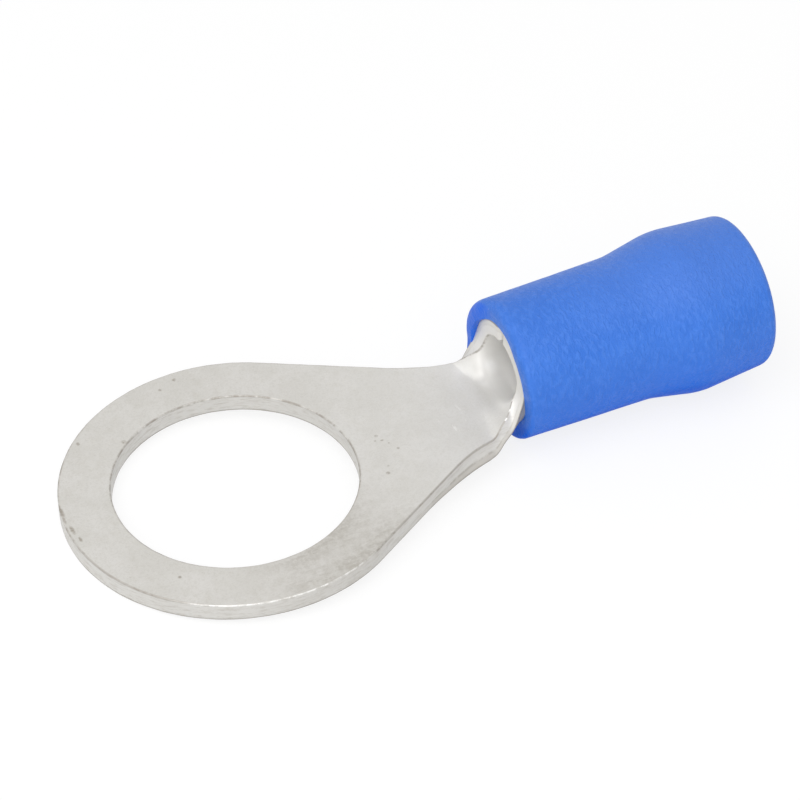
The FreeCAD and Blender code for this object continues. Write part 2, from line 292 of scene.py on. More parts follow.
def bend_tables(curl, tights):
    """Turn, reach across and rise of the sheet's middle over the rows and columns."""
    start = CURL_START * np.exp((curl[0] - ROWS) / curl[1]) * (1 - smooth(ROWS, *CURL_ENDS))
    ease = np.minimum(EASE_MOST, EASE_SHARE * start + EASE_LEAST)
    tight = eased_table(ROWS, TIGHT_X, tights) * smooth(ROWS, *TIGHT_RISE) / MEAN_RADIUS
    curvature = smooth(COLUMNS[None, :], (start - ease / 2)[:, None], (start + ease / 2)[:, None])
    turn = running_sum(curvature * tight[:, None])
    return turn, running_sum(np.cos(turn)), running_sum(np.sin(turn))


FAR_TABLES = bend_tables(FAR_CURL, FAR_TIGHT)
NEAR_TABLES = bend_tables(NEAR_CURL, NEAR_TIGHT)


def sample(table, x, s):
    """Value of a table over the rows and columns at places between them."""
    row = np.interp(x, ROWS, np.arange(len(ROWS)))
    column = np.clip(s / COLUMN_STEP, 0, len(COLUMNS) - 1.001)
    r, c = np.minimum(row.astype(int), len(ROWS) - 2), column.astype(int)
    past_row, past_column = row - r, column - c
    before = table[r, c] * (1 - past_column) + table[r, c + 1] * past_column
    after = table[r + 1, c] * (1 - past_column) + table[r + 1, c + 1] * past_column
    return before * (1 - past_row) + after * past_row


def bend(points, inset):
    """Flat blank coordinates (along, across, height from mid-sheet) to the part's frame."""
    x, s, h = points[:, 0], points[:, 1], points[:, 2]
    swell = plateau(x, SWELL_RISE, SWELL_FALL) * smooth(inset, *SWELL_INSET)
    h = h - SWELL * swell * (h < 0) * (s < 0)
    side = np.where(s < 0, -1.0, 1.0)
    size = np.abs(s)
    turn, across, rise = (np.where(s > 0, sample(far, x, size), sample(near, x, size))
                          for far, near in zip(FAR_TABLES, NEAR_TABLES))
    across = across - h * np.sin(turn)
    rise = rise + h * np.cos(turn)
    sink = eased_table(x, SINK_X, SINK_Z)
    rise = rise * (1 - (BARREL_DROP - sink) / (2 * MEAN_RADIUS) * SQUASH * smooth(x, *SQUASH_RISE))
    lean = LEAN * plateau(x, LEAN_RISE, LEAN_FALL)
    return np.stack([x, side * across + lean, HALF - sink + rise], 1)


# Terminal body: its mesh

class Blank:
    """The flat sheet's mesh: points, each with its inset from the cut edge and its level, and faces."""

    def __init__(self):
        self.points, self.insets, self.levels, self.faces = [], [], [], []

    def add(self, spots, inset, level, sunk=0.0):
        """Add points, sunk below their level, and return their indices."""
        first, count = len(self.points), len(spots)
        self.points.extend(np.column_stack([spots, np.broadcast_to(level - sunk, count)]))
        self.insets.extend(np.broadcast_to(inset, count))
        self.levels.extend(np.broadcast_to(level, count))
        return first + np.arange(count)

    def join(self, upper, lower):
        """Faces between two closed rows of points."""
        corners = [upper, np.roll(upper, -1), np.roll(lower, -1), lower]
        self.faces.extend(np.stack(corners, 1).tolist())


def edge_rows(loop):
    """Inset and level of the cut edge's rows, from the top face's guard ring to the bottom one's."""
    flat = np.column_stack([loop, np.zeros(len(loop))])
    uneven = wobble(flat, size=0.35, seed=3.1) * 0.5 + wobble(flat, size=1.3, seed=9.7) * 0.5
    top_round = TOP_ROUND * (1 + TOP_UNEVEN * uneven)
    nick = NICK * wobble(flat, size=0.2, seed=17.0)
    low_round = LOW_ROUND * (1 + LOW_UNEVEN * wobble(flat, size=0.5, seed=21.0))
    slant = SLANT * plateau(loop[:, 0], SLANT_RISE, SLANT_FALL) * (loop[:, 1] < 0)
    rows = [(GUARD, HALF), (top_round + ROUND_MARGIN, HALF)]
    for swing in np.linspace(0, math.pi / 2, TOP_ROWS):
        rows.append((top_round * (1 - math.sin(swing)), HALF - top_round * (1 - math.cos(swing))))
    for level, inset, nicked, slanted in EDGE_ROWS:
        rows.append((inset + nicked * nick - slanted * slant, level))
    for swing in np.linspace(math.pi / 2, 0, LOW_ROWS):
        rows.append((low_round * (1 - math.sin(swing)) - slant, -HALF + low_round * (1 - math.cos(swing))))
    rows += [(low_round + ROUND_MARGIN - slant, -HALF), (GUARD, -HALF)]
    return [np.broadcast_arrays(inset, level, uneven)[:2] for inset, level in rows]


def add_edge(blank, loop, normal):
    """Mesh of the cut edge along a loop. Returns its guard rings on the top and the bottom face."""
    rings = [blank.add(loop - normal * inset[:, None], inset, level) for inset, level in edge_rows(loop)]
    for upper, lower in zip(rings, rings[1:]):
        blank.join(upper, lower)
    return rings[0], rings[-1]


def groove_edges(start):
    """Where a groove starts, is deep, starts to end, and ends."""
    end = start + GROOVE_WIDTH
    return start, start + GROOVE_SLOPE, end - GROOVE_SLOPE, end


def groove_depth(x):
    """Depth of the barrel's serration grooves along the part."""
    depth = np.zeros_like(x)
    for groove in GROOVES:
        start, deep, leave, end = groove_edges(groove)
        depth = np.maximum(depth, plateau(x, (start, deep), (leave, end)))
    return depth * GROOVE_DEPTH


def grid_spots():
    """Grid over the blank, with a row along each edge of the grooves."""
    spots = []
    for first, last, step in GRID:
        for k, x in enumerate(np.arange(first + step / 2, last, step)):
            shift = step / 2 if k % 2 else 0
            spots.extend((x, s) for s in np.arange(GRID_SPLIT, GRID_REACH, step) + shift)
            spots.extend((x, s) for s in np.arange(-GRID_REACH, GRID_SPLIT, step))
    for groove in GROOVES:
        for x in groove_edges(groove):
            spots.extend((x, s) for s in np.arange(-GROOVE_REACH, GROOVE_REACH, GROOVE_STEP))
    return np.array(spots)


def ring_edges(first, count):
    return [(first + k, first + (k + 1) % count) for k in range(count)]


def fill_faces(blank, outer_guard, inner_guard, outer, rings):
    """Fill the top and the bottom face between the guard rings."""
    spots = grid_spots()
    radius = np.hypot(spots[:, 0], spots[:, 1])
    gap = distance_to(spots, outer)
    keep = inside(spots, outer_guard) & (gap > GUARD + OUTLINE_CLEAR)
    keep &= radius > HOLE_RADIUS + GUARD + HOLE_CLEAR
    spots, inset = spots[keep], np.minimum(gap, radius - HOLE_RADIUS)[keep]

    flat = [Vector(spot) for spot in np.concatenate([outer_guard, inner_guard, spots])]
    edges = ring_edges(0, len(outer_guard)) + ring_edges(len(outer_guard), len(inner_guard))
    found = delaunay_2d_cdt(flat, edges, [], 0, MERGE_WITHIN)
    places = np.array([tuple(place) for place in found[0]])
    triangles = np.array([tuple(triangle) for triangle in found[2]])
    source = np.array([list(group)[0] for group in found[3]])

    # The triangulation also covers the hole and the hollows beside the neck
    middles = places[triangles].mean(1)
    within = inside(middles, outer_guard)
    within &= np.hypot(middles[:, 0], middles[:, 1]) > HOLE_RADIUS + GUARD
    top_rings, bottom_rings = zip(*rings)
    top = np.concatenate([*top_rings, blank.add(spots, inset, HALF, groove_depth(spots[:, 0]))])
    bottom = np.concatenate([*bottom_rings, blank.add(spots, inset, -HALF)])
    for triangle in triangles[within]:
        a, b, c = places[triangle]
        if (b[0] - a[0]) * (c[1] - a[1]) - (b[1] - a[1]) * (c[0] - a[0]) < 0:
            triangle = triangle[::-1]
        blank.faces.append(top[source[triangle]].tolist())
        blank.faces.append(bottom[source[triangle[::-1]]].tolist())


def build_terminal():
    """Points, faces, insets and levels of the bent sheet."""
    blank = Blank()
    # Both loops run so that their left-hand normal points out of the sheet
    outer, inner = whole_outline(), hole_outline()
    outer_normal, inner_normal = loop_normals(outer), loop_normals(inner)
    rings = [add_edge(blank, outer, outer_normal), add_edge(blank, inner, inner_normal)]
    fill_faces(blank, outer - outer_normal * GUARD, inner - inner_normal * GUARD, outer, rings)
    insets = np.array(blank.insets)
    return bend(np.array(blank.points), insets), blank.faces, insets, np.array(blank.levels)


# Insulation sleeve

SLEEVE_STEP = 0.13
SEGMENTS = 208
# In degrees: the step of the section's round corners, and how the wall widens in front and narrows behind
ROUND_TURN = 11
FRONT_DRAFT = 0.9
REAR_DRAFT = 4.5
# Roundings of the section's corners
FRONT_ROUND = 0.38
FLARE_ROUND = 3.0
REAR_ROUND = 0.3
ENTRY_LIP = 0.15
FUNNEL_ROUND = 0.3
STEP_ROUND = 0.1
BORE_LIP = 0.05
# How square the front end's outer corner is below, and how far behind the front end its unevenness ends
SQUARE_POWER = 7
FRONT_FADE = 2.4
DIAGONAL = 0.707
# Faint waves of the wall: height, size and seed
WAVES = ((0.010, 1.9, 4.0), (0.004, 0.55, 8.0))
WAVES_FROM_RADIUS = (2.3, 2.5)
DENT = (16.905, -1.49, 4.053)
DENT_DEPTH = 0.03
DENT_RADIUS = 0.13


def rounded_polyline(corners, step):
    """Closed polyline through (along, out, rounding) corners, with round corners and even steps."""
    spots = []
    count = len(corners)
    for k, (along, out, radius) in enumerate(corners):
        here = np.array((along, out))
        before = np.array(corners[k - 1][:2]) - here
        after = np.array(corners[(k + 1) % count][:2]) - here
        before, after = before / np.linalg.norm(before), after / np.linalg.norm(after)
        half = math.acos(np.clip(before @ after, -1, 1)) / 2
        reach = radius / math.tan(half)
        centre = here + (before + after) / np.linalg.norm(before + after) * radius / math.sin(half)
        first, last = here + before * reach - centre, here + after * reach - centre
        sweep = math.pi - 2 * half
        parts = max(3, int(sweep / math.radians(ROUND_TURN)), int(sweep * radius / step))
        turn = math.atan2(first[0] * last[1] - first[1] * last[0], first @ last)
        for share in np.linspace(0, 1, parts + 1):
            c, s = math.cos(turn * share), math.sin(turn * share)
            spots.append(centre + (c * first[0] - s * first[1], s * first[0] + c * first[1]))
    spots = np.array(spots)
    full = []
    for start, end in zip(spots, np.roll(spots, -1, 0)):
        parts = max(1, int(round(np.linalg.norm(end - start) / step)))
        full.extend(start + (end - start) * k / parts for k in range(parts))
    return np.array(full)


def sleeve_profile():
    """Section of the sleeve's wall: places along it and out from its axis."""
    front = SLEEVE_BORE + SLEEVE_WALL
    foot = front + FOOT * math.tan(math.radians(FRONT_DRAFT))
    crest = foot + FLARE
    rear = crest - (SLEEVE_LENGTH - CREST) * math.tan(math.radians(REAR_DRAFT))
    return rounded_polyline((
        (0, SLEEVE_BORE, BORE_LIP),
        (0, front, FRONT_ROUND),
        (FOOT, foot, FLARE_ROUND),
        (CREST, crest, FLARE_ROUND),
        (SLEEVE_LENGTH, rear, REAR_ROUND),
        (SLEEVE_LENGTH, SLEEVE_ENTRY, ENTRY_LIP),
        (FUNNEL_END, SLEEVE_ENTRY, FUNNEL_ROUND),
        (BARREL_END, SLEEVE_BORE, STEP_ROUND),
    ), SLEEVE_STEP)


def square_below(along, out, low_near):
    """The front end's outer corner is well rounded above, and nearly square below on the near side."""
    forward = np.maximum(FRONT_ROUND - along, 0)
    outward = np.maximum(out - (SLEEVE_BORE + SLEEVE_WALL - FRONT_ROUND), 0)
    corner = (forward > 0) & (outward > 0)
    # The tiny number only keeps the share defined off the corner, where it isn't used
    square_reach = (forward ** SQUARE_POWER + outward ** SQUARE_POWER + 1e-30) ** (1 / SQUARE_POWER)
    square = np.where(corner, np.hypot(forward, outward) / square_reach - 1, 0)
    square = square * smooth(low_near, -0.2, 0.6)
    return along - forward * square, out + outward * square


def front_reach(side, up, low_near):
    """How far forward the front end stands, which isn't quite square to the axis."""
    far = 0.15 * smooth(side, 0.35, 0.9) * smooth(up, -0.8, 0.3)
    far_below = 0.2 * smooth(side, 0.6, 0.95) * smooth(-up, 0.05, 0.5)
    top = 0.05 * smooth(up, 0.75, 1.0)
    near = 0.03 * smooth(low_near, 0.1, 0.9)
    return far + far_below - top - near


def build_sleeve():
    """Points and faces of the sleeve."""
    profile = sleeve_profile()
    turn = np.linspace(0, 2 * math.pi, SEGMENTS, endpoint=False)
    side, up = np.sin(turn)[None, :], np.cos(turn)[None, :]
    low_near = -DIAGONAL * (side + up)
    along, out = square_below(profile[:, :1], profile[:, 1:], low_near)
    x = along - front_reach(side, up, low_near) * smooth(-along, -FRONT_FADE, 0)
    spots = np.stack([SLEEVE_X + x, out * side, AXIS_Z + out * up], -1).reshape(-1, 3)
    waves = sum(height * wobble(spots, size, seed) for height, size, seed in WAVES)
    waves = waves - DENT_DEPTH * np.exp(-((spots - DENT) ** 2).sum(1) / DENT_RADIUS ** 2)
    outward = np.stack(np.broadcast_arrays(0 * x, side, up), -1).reshape(-1, 3)
    spots = spots + outward * (waves * smooth(out, *WAVES_FROM_RADIUS).reshape(-1))[:, None]
    index = np.arange(len(spots)).reshape(x.shape)
    behind = np.roll(index, -1, 0)
    corners = [index, behind, np.roll(behind, -1, 1), np.roll(index, -1, 1)]
    return spots, np.stack(corners, -1).reshape(-1, 4).tolist()


def make_object(name, points, faces, values=None):
    """Object with smooth faces from points in millimetres, and a value for each point by name."""
    mesh = bpy.data.meshes.new(name)
    mesh.from_pydata([tuple(point) for point in np.asarray(points) * MM], [], faces)
    mesh.update()
    for key, numbers in (values or {}).items():
        attribute = mesh.attributes.new(key, "FLOAT", "POINT")
        attribute.data.foreach_set("value", np.asarray(numbers, np.float32))
    mesh.polygons.foreach_set("use_smooth", [True] * len(mesh.polygons))
    mesh.update()
    piece = bpy.data.objects.new(name, mesh)
    bpy.context.scene.collection.objects.link(piece)
    return piece


# Materials

class Shade:
    """Small helper that builds a material's nodes around one colour. Places are in millimetres."""

    def __init__(self, name, colour):
        self.material = bpy.data.materials.new(name)
        self.material.use_nodes = True
        self.tree = self.material.node_tree
        self.tree.nodes.clear()
        self.output = self.tree.nodes.new("ShaderNodeOutputMaterial")
        self.colour = colour
        coords = self.tree.nodes.new("ShaderNodeTexCoord")
        self.place = self.vector("SCALE", coords.outputs["Object"], Scale=1 / MM).outputs[0]
        parts = self.tree.nodes.new("ShaderNodeSeparateXYZ")
        self.link(self.place, parts.inputs[0])
        self.x, self.y, self.z = parts.outputs

    def link(self, source, target):
        self.tree.links.new(source, target)

    def put(self, socket, value):
        """Link a socket, or set a plain value."""
        if hasattr(value, "is_output"):
            self.link(value, socket)
        else:
            socket.default_value = value

    def vector(self, operation, source, **values):
        node = self.tree.nodes.new("ShaderNodeVectorMath")
        node.operation = operation
        self.link(source, node.inputs[0])
        for key, value in values.items():
            node.inputs[1 if key == "by" else key].default_value = value
        return node

    def math(self, operation, a, b, clamp=False):
        node = self.tree.nodes.new("ShaderNodeMath")
        node.operation = operation
        node.use_clamp = clamp
        self.put(node.inputs[0], a)
        self.put(node.inputs[1], b)
        return node.outputs[0]

    def product(self, *shares):
        """Product of sockets and numbers."""
        result = shares[0]
        for share in shares[1:]:
            result = self.math("MULTIPLY", result, share)
        return result

    def tint(self, tone, *shares):
        """Mix a tone into the colour, by the product of the shares."""
        node = self.tree.nodes.new("ShaderNodeMix")
        node.data_type = "RGBA"
        self.put(node.inputs["Factor"], self.product(*shares))
        self.put(node.inputs["A"], self.colour)
        self.put(node.inputs["B"], tone)
        self.colour = node.outputs["Result"]

    def stretched(self, scale, rotation=(0, 0, 0)):
        """Places for a noise that is stretched, by turns in degrees."""
        node = self.tree.nodes.new("ShaderNodeMapping")
        node.inputs["Scale"].default_value = scale
        node.inputs["Rotation"].default_value = [math.radians(turn) for turn in rotation]
        self.link(self.place, node.inputs["Vector"])
        return node.outputs[0]

    def noise(self, scale, detail, roughness, place=None, distortion=0.0):
        node = self.tree.nodes.new("ShaderNodeTexNoise")
        node.inputs["Scale"].default_value = scale
        node.inputs["Detail"].default_value = detail
        node.inputs["Roughness"].default_value = roughness
        node.inputs["Distortion"].default_value = distortion
        self.link(place or self.place, node.inputs["Vector"])
        return node.outputs["Fac"]

    def band(self, value, low, high, at_low=0.0, at_high=1.0):
        """Even ease from one result to another while a value goes from low to high."""
        node = self.tree.nodes.new("ShaderNodeMapRange")
        node.interpolation_type = "SMOOTHSTEP"
        self.link(value, node.inputs["Value"])
        node.inputs["From Min"].default_value = low
        node.inputs["From Max"].default_value = high
        node.inputs["To Min"].default_value = at_low
        node.inputs["To Max"].default_value = at_high
        return node.outputs["Result"]

    def near(self, centre, radius, soft, stretch=(1, 1, 1)):
        """1 near a point in millimetres, and 0 from the given radius on."""
        away = self.vector("SUBTRACT", self.place, by=centre).outputs[0]
        away = self.vector("MULTIPLY", away, by=stretch).outputs[0]
        length = self.vector("LENGTH", away).outputs["Value"]
        return self.band(length, radius * (1 - soft), radius, 1.0, 0.0)

    def attribute(self, name):
        node = self.tree.nodes.new("ShaderNodeAttribute")
        node.attribute_name = name
        return node.outputs["Fac"]

    def bump(self, height, distance):
        node = self.tree.nodes.new("ShaderNodeBump")
        node.inputs["Distance"].default_value = distance * MM
        self.link(height, node.inputs["Height"])
        return node.outputs["Normal"]

    def finish(self, **values):
        """Join the colour and the given values in one surface."""
        node = self.tree.nodes.new("ShaderNodeBsdfPrincipled")
        self.put(node.inputs["Base Color"], self.colour)
        for key, value in values.items():
            self.put(node.inputs[key.replace("_", " ")], value)
        self.link(node.outputs[0], self.output.inputs["Surface"])
        return self.material


TOP_Z = THICK

# Tones of the tinned metal
TIN = (0.61, 0.595, 0.56, 1)
PALE_TIN = (0.65, 0.635, 0.605, 1)
CLOUD = (0.57, 0.545, 0.49, 1)
GRAIN = (0.49, 0.47, 0.425, 1)
SPARKLE = (0.82, 0.81, 0.79, 1)
SPECK = (0.25, 0.22, 0.18, 1)
STAIN = (0.34, 0.31, 0.265, 1)
MARK = (0.26, 0.22, 0.17, 1)
# Partly the cut faces' own tone and partly a painted reflection of the white floor
CUT_TONE_AND_SHEEN = (0.70, 0.69, 0.665, 1)
DRAWN = (0.45, 0.42, 0.37, 1)
TORN = (0.43, 0.395, 0.34, 1)
CRACK = (0.26, 0.225, 0.175, 1)
# Painted light that stands in for light bounced inside the barrel
BOUNCE_LIGHT = (0.89, 0.88, 0.855, 1)
EDGE_LINE = (0.22, 0.185, 0.145, 1)
# Painted highlight on the edge rounding
PAINTED_HIGHLIGHT = (0.97, 0.965, 0.95, 1)
SCRATCH = (0.85, 0.84, 0.81, 1)
# Painted shade on the bottom edge, and on the underside beside the sleeve
EDGE_SHADE = (0.26, 0.235, 0.20, 1)
UNDERSIDE_SHADE = (0.42, 0.37, 0.28, 1)

# Small dark marks on the top face: place along and across, size, and slimness along the part
MARKS = (
    (0.1, 5.61, 0.1, 1), (-0.54, 5.35, 0.08, 1), (-2.66, 3.44, 0.13, 1), (-4.1, 4.06, 0.1, 1.3),
    (-5.82, 0.2, 0.17, 1.8), (-5.84, 1.2, 0.22, 2.0), (-5.74, -0.35, 0.12, 1.6), (-5.9, 0.75, 0.14, 1.8),
    (-3.47, -3.48, 0.09, 1), (5.16, -0.21, 0.09, 1), (5.57, -1.1, 0.08, 1), (4.74, -2.07, 0.1, 1),
    (5.02, -0.42, 0.06, 1), (5.24, -0.5, 0.07, 0.8), (5.4, -0.72, 0.05, 1), (4.9, -1.75, 0.06, 1),
)

# Painted highlights and painted shade in the dish: place, radius, softness, share and tone
DISH_LIGHT_PATCHES = (
    ((9.36, 1.53, 0.78), 0.6, 0.8, 0.35, (0.95, 0.945, 0.93, 1)),
    ((9.76, 1.03, 0.85), 0.42, 0.95, 0.6, (0.60, 0.59, 0.565, 1)),
    ((10.13, 0.98, 0.9), 0.42, 0.95, 1.0, (1.0, 0.995, 0.98, 1)),
    ((9.62, 0.74, 0.68), 0.27, 0.9, 0.7, (0.60, 0.59, 0.565, 1)),
)


def add_plating(shade, grain, fine, clouds):
    """The rolled and tinned faces."""
    patches = shade.noise(0.75, 4.0, 0.55)
    specks = shade.noise(6.0, 3.0, 0.75)
    shade.tint(PALE_TIN, shade.band(patches, 0.36, 0.64))
    shade.tint(CLOUD, shade.band(clouds, 0.45, 0.72, 0.0, 0.22))
    shade.tint(GRAIN, shade.band(grain, 0.42, 0.72, 0.0, 0.34))
    shade.tint(SPARKLE, shade.band(fine, 0.48, 0.76, 0.0, 0.3))
    shade.tint(SPECK, shade.band(specks, 0.70, 0.75), 0.35)


def add_handling(shade, grain, inset):
    """Handling stain along the ring's front edge, with faint strokes across it, and small marks."""
    strokes = shade.noise(1.0, 3.0, 0.6, shade.stretched((1.0, 6.0, 1.0), (0, 0, 25)))
    patches = shade.noise(5.5, 3.0, 0.7)
    smudge = shade.near((2.0, -5.2, TOP_Z), 4.2, 0.75)
    smudge = shade.product(smudge, shade.band(inset, 0.05, 1.3, 1.0, 0.25))
    smudge = shade.product(smudge, shade.band(strokes, 0.34, 0.6, 0.55, 1.0))
    smudge = shade.product(smudge, shade.band(patches, 0.36, 0.62, 0.45, 1.0))
    shade.tint(STAIN, smudge, 0.6)
    depth = shade.band(grain, 0.3, 0.6, 0.25, 0.7)
    for x, y, size, slim in MARKS:
        shade.tint(MARK, shade.near((x, y, TOP_Z), size, 0.7, (slim, 1 / slim, 1)), depth)


def add_cut_edges(shade, clouds, cut, level):
    """The cut edges are a little brighter than the rolled faces, partly their own tone and partly a painted
    reflection of the white floor, and torn along the neck.
    """
    drawn = shade.noise(2.2, 4.0, 0.65, shade.stretched((1.0, 1.0, 6.5)))
    # Painted reflection of the floor, in part, brightens the cut faces
    shade.tint(CUT_TONE_AND_SHEEN, cut, 0.6)
    shade.tint(DRAWN, cut, shade.band(drawn, 0.46, 0.68, 0.0, 0.5))
    neck = shade.product(cut, shade.band(shade.x, 3.5, 7.0))
    shade.tint(TORN, neck, shade.band(level, -0.14, -0.06, 0.7, 0.25))
    crack = shade.product(shade.band(level, -0.15, -0.09), shade.band(level, -0.09, -0.03, 1.0, 0.0))
    shade.tint(CRACK, crack, neck, shade.band(clouds, 0.4, 0.6, 0.15, 0.7))


def add_painted_light(shade, cut):
    """Painted light: the barrel's inside, the dish and the tongue before them are lightened, standing in for
    light bounced inside the barrel, and the dish gets painted highlights and painted shade.
    """
    # Painted bounce light, strongest in the barrel and fading along the tongue
    barrel = shade.product(shade.band(shade.x, 9.3, 9.95, 0.0, 0.85), shade.band(cut, 0.0, 1.0, 1.0, 0.45))
    barrel = shade.product(barrel, shade.band(shade.x, 10.2, 11.0, 1.0, 0.55))
    tongue = shade.math("ADD", barrel, shade.band(shade.x, 1.0, 8.6, 0.0, 0.2))
    lightening = shade.math("ADD", tongue, shade.band(shade.x, 8.3, 9.0, 0.0, 0.12), clamp=True)
    shade.tint(BOUNCE_LIGHT, lightening)
    # Painted highlights and painted shade in the dish
    for place, radius, soft, share, tone in DISH_LIGHT_PATCHES:
        shade.tint(tone, shade.near(place, radius, soft), share)


def add_edge_lines(shade, inset, level):
    """Dark, broken line where the punch rounded the edge, with painted highlights along stretches of it, and
    painted shade along the bottom edge and the underside.
    """
    rim = shade.product(shade.band(inset, 0.01, 0.085, 1.0, 0.0), shade.band(level, 0.24, 0.31))
    # It is nearly whole along the neck, and along the ring's front it fades under a painted highlight on the
    # rounded edge
    broken = shade.band(shade.noise(2.4, 6.0, 0.72), 0.38, 0.62, 0.08, 0.75)
    ends = shade.math("MAXIMUM", shade.band(shade.x, 1.2, 4.5), shade.band(shade.x, -2.6, -4.0))
    whole = shade.product(ends, shade.band(shade.y, 1.5, -2.0, 0.0, 0.55))
    # Where the painted highlight lies along the ring's front edge
    front_highlight = shade.near((-0.9, -6.0, TOP_Z), 4.0, 0.5)
    shade.tint(EDGE_LINE, rim, shade.math("MAXIMUM", broken, whole), shade.band(front_highlight, 0.0, 1.0, 1.0, 0.45))
    patches = shade.band(shade.noise(3.6, 4.0, 0.7), 0.6, 0.42, 0.2, 1.0)
    shade.tint(PAINTED_HIGHLIGHT, front_highlight, rim, shade.band(inset, 0.02, 0.045, 0.75, 0.0), patches)
    # A painted glint beside the sleeve, and scratches on the tongue before it
    beads = shade.band(shade.noise(5.0, 2.0, 0.5), 0.5, 0.56, 0.0, 0.9)
    shade.tint(PAINTED_HIGHLIGHT, rim, shade.near((9.75, -1.9, 0.9), 1.1, 0.5), beads)
    scratch = shade.noise(1.0, 3.0, 0.6, shade.stretched((9.0, 1.6, 1.0), (0, 0, -38)))
    shade.tint(SCRATCH, shade.band(scratch, 0.6, 0.68), shade.near((8.1, -0.9, TOP_Z), 1.3, 0.8), 0.6)
    # Painted shade darkens the bottom edge, and the underside beside the sleeve
    low_edge = shade.band(level, -0.31, -0.24, 1.0, 0.0)
    shade.tint(EDGE_SHADE, low_edge, shade.band(inset, 0.0, 0.04, 1.0, 0.0), 0.85)
    shade.tint(UNDERSIDE_SHADE, shade.band(level, -0.32, -0.30, 1.0, 0.0), shade.band(shade.x, 9.0, 9.6, 0.0, 0.8))


def tinned_metal():
    shade = Shade("tinned_metal", TIN)
    grain = shade.noise(13.0, 3.0, 0.6)
    fine = shade.noise(34.0, 2.0, 0.6)
    clouds = shade.noise(3.4, 4.0, 0.62)
    inset = shade.attribute("inset")
    level = shade.attribute("level")
    cut = shade.band(inset, 0.02, 0.05, 1.0, 0.0)
    add_plating(shade, grain, fine, clouds)
    add_handling(shade, grain, inset)
    add_cut_edges(shade, clouds, cut, level)
    add_painted_light(shade, cut)
    add_edge_lines(shade, inset, level)
    height = shade.math("ADD", shade.product(grain, 0.6), shade.product(fine, 0.5))
    rough = shade.band(clouds, 0.3, 0.7, 0.52, 0.6)
    return shade.finish(Metallic=0.4, Roughness=rough, Normal=shade.bump(height, 0.005))


# Tones of the blue plastic
BLUE = (0.038, 0.174, 0.68, 1)
PALE_BLUE = (0.046, 0.190, 0.715, 1)
STROKE_BLUE = (0.066, 0.224, 0.77, 1)
# Painted shade below, a painted contact shadow at the bottom, and a painted sheen on top behind
SHADED_LOW_BLUE = (0.014, 0.160, 0.76, 1)
CONTACT_SHADOW_BLUE = (0.0, 0.11, 0.68, 1)
SHEEN_TOP_BLUE = (0.078, 0.212, 0.70, 1)
# Painted shade on the front end's face
SHADED_FRONT_BLUE = (0.0, 0.12, 0.80, 1)


def blue_pvc():
    shade = Shade("blue_pvc", BLUE)
    patches = shade.noise(0.9, 3.0, 0.5)
    strokes = shade.noise(7.5, 3.0, 0.6, shade.stretched((1.0, 0.5, 0.5), (0, 28, 0)), distortion=0.6)
    pores = shade.noise(15.0, 2.0, 0.55)
    shade.tint(PALE_BLUE, shade.band(patches, 0.3, 0.7))
    shade.tint(STROKE_BLUE, shade.band(strokes, 0.46, 0.64, 0.0, 0.7))
    # Painted shade makes the plastic deeper in tone below, with a painted contact shadow at the bottom, and
    # a painted sheen makes it paler on top behind
    shade.tint(SHADED_LOW_BLUE, shade.band(shade.z, 0.0, 2.6, 0.85, 0.0))
    shade.tint(CONTACT_SHADOW_BLUE, shade.band(shade.z, 0.0, 0.45, 0.85, 0.0))
    shade.tint(SHEEN_TOP_BLUE, shade.band(shade.z, 2.9, 4.3), shade.band(shade.x, 11.5, 15.0, 0.15, 0.6))
    # Painted shade makes the front end's face deeper still, below and on the far side
    face = shade.band(shade.x, 9.98, 10.06, 0.95, 0.0)
    low = shade.band(shade.z, -0.1, 0.9, 1.0, 0.0)
    far = shade.band(shade.y, 0.3, 1.4, 0.0, 0.7)
    shade.tint(SHADED_FRONT_BLUE, face, shade.math("MAXIMUM", low, far))
    height = shade.math("ADD", strokes, shade.product(pores, 0.35))
    rough = shade.band(strokes, 0.35, 0.65, 0.47, 0.4)
    # The underside mirrors less of the white floor
    shine = shade.band(shade.z, 0.2, 1.3, 0.05, 0.3)
    return shade.finish(Roughness=rough, Normal=shade.bump(height, 0.05), IOR=1.5, Specular_IOR_Level=shine)


# The object

terminal_points, terminal_faces, insets, levels = build_terminal()
edge_values = {"inset": insets, "level": levels}
terminal = make_object("tinned_terminal", terminal_points, terminal_faces, edge_values)
terminal.data.materials.append(tinned_metal())
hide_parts("terminal_body")
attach(terminal, "root")

sleeve_points, sleeve_faces = build_sleeve()
sleeve = make_object("blue_sleeve", sleeve_points, sleeve_faces)
sleeve.data.materials.append(blue_pvc())
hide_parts("insulation_sleeve")
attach(sleeve, "root")

# The solids that the pieces stand for keep the same finishes
for node, piece in (("terminal_body", terminal), ("insulation_sleeve", sleeve)):
    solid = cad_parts[node]
    solid.data.materials.clear()
    solid.data.materials.append(piece.data.materials[0])

# Floor, light and camera

FLOOR_REACH = 900.0
FLOOR_GAP = 0.004
FLOOR_TONE = (0.95, 0.95, 0.95, 1)
FLOOR_GLOW = 1.03
FLOOR_GLOW_SHARE = 0.8
# A first guess at the floor's slope, which only serves to find the ring's tip
FIRST_SLOPE = 0.05
WHITE = (1, 1, 1, 1)
ROOM_LIGHT = 0.56
BACKDROP_LIGHT = 1.0
SOFTBOX_AIM = (7, 0, 0)
SOFTBOX_SIZE = 170
KEY_PLACE = (-62, -54, 160)
KEY_WATTS = 0.165
FILL_PLACE = (-55, -135, 118)
FILL_WATTS = 0.065

# The camera as fitted to the photo: its sensor and lens, its turns in degrees and its place
SENSOR = 36.0
LENS = 157.5
CAMERA_AZIMUTH = -23.919
CAMERA_ELEVATION = 41.935
CAMERA_ROLL = -2.11
CAMERA_PLACE = (-29.794, -81.143, 81.454)
CLIP_START = 2
CLIP_END = 10000


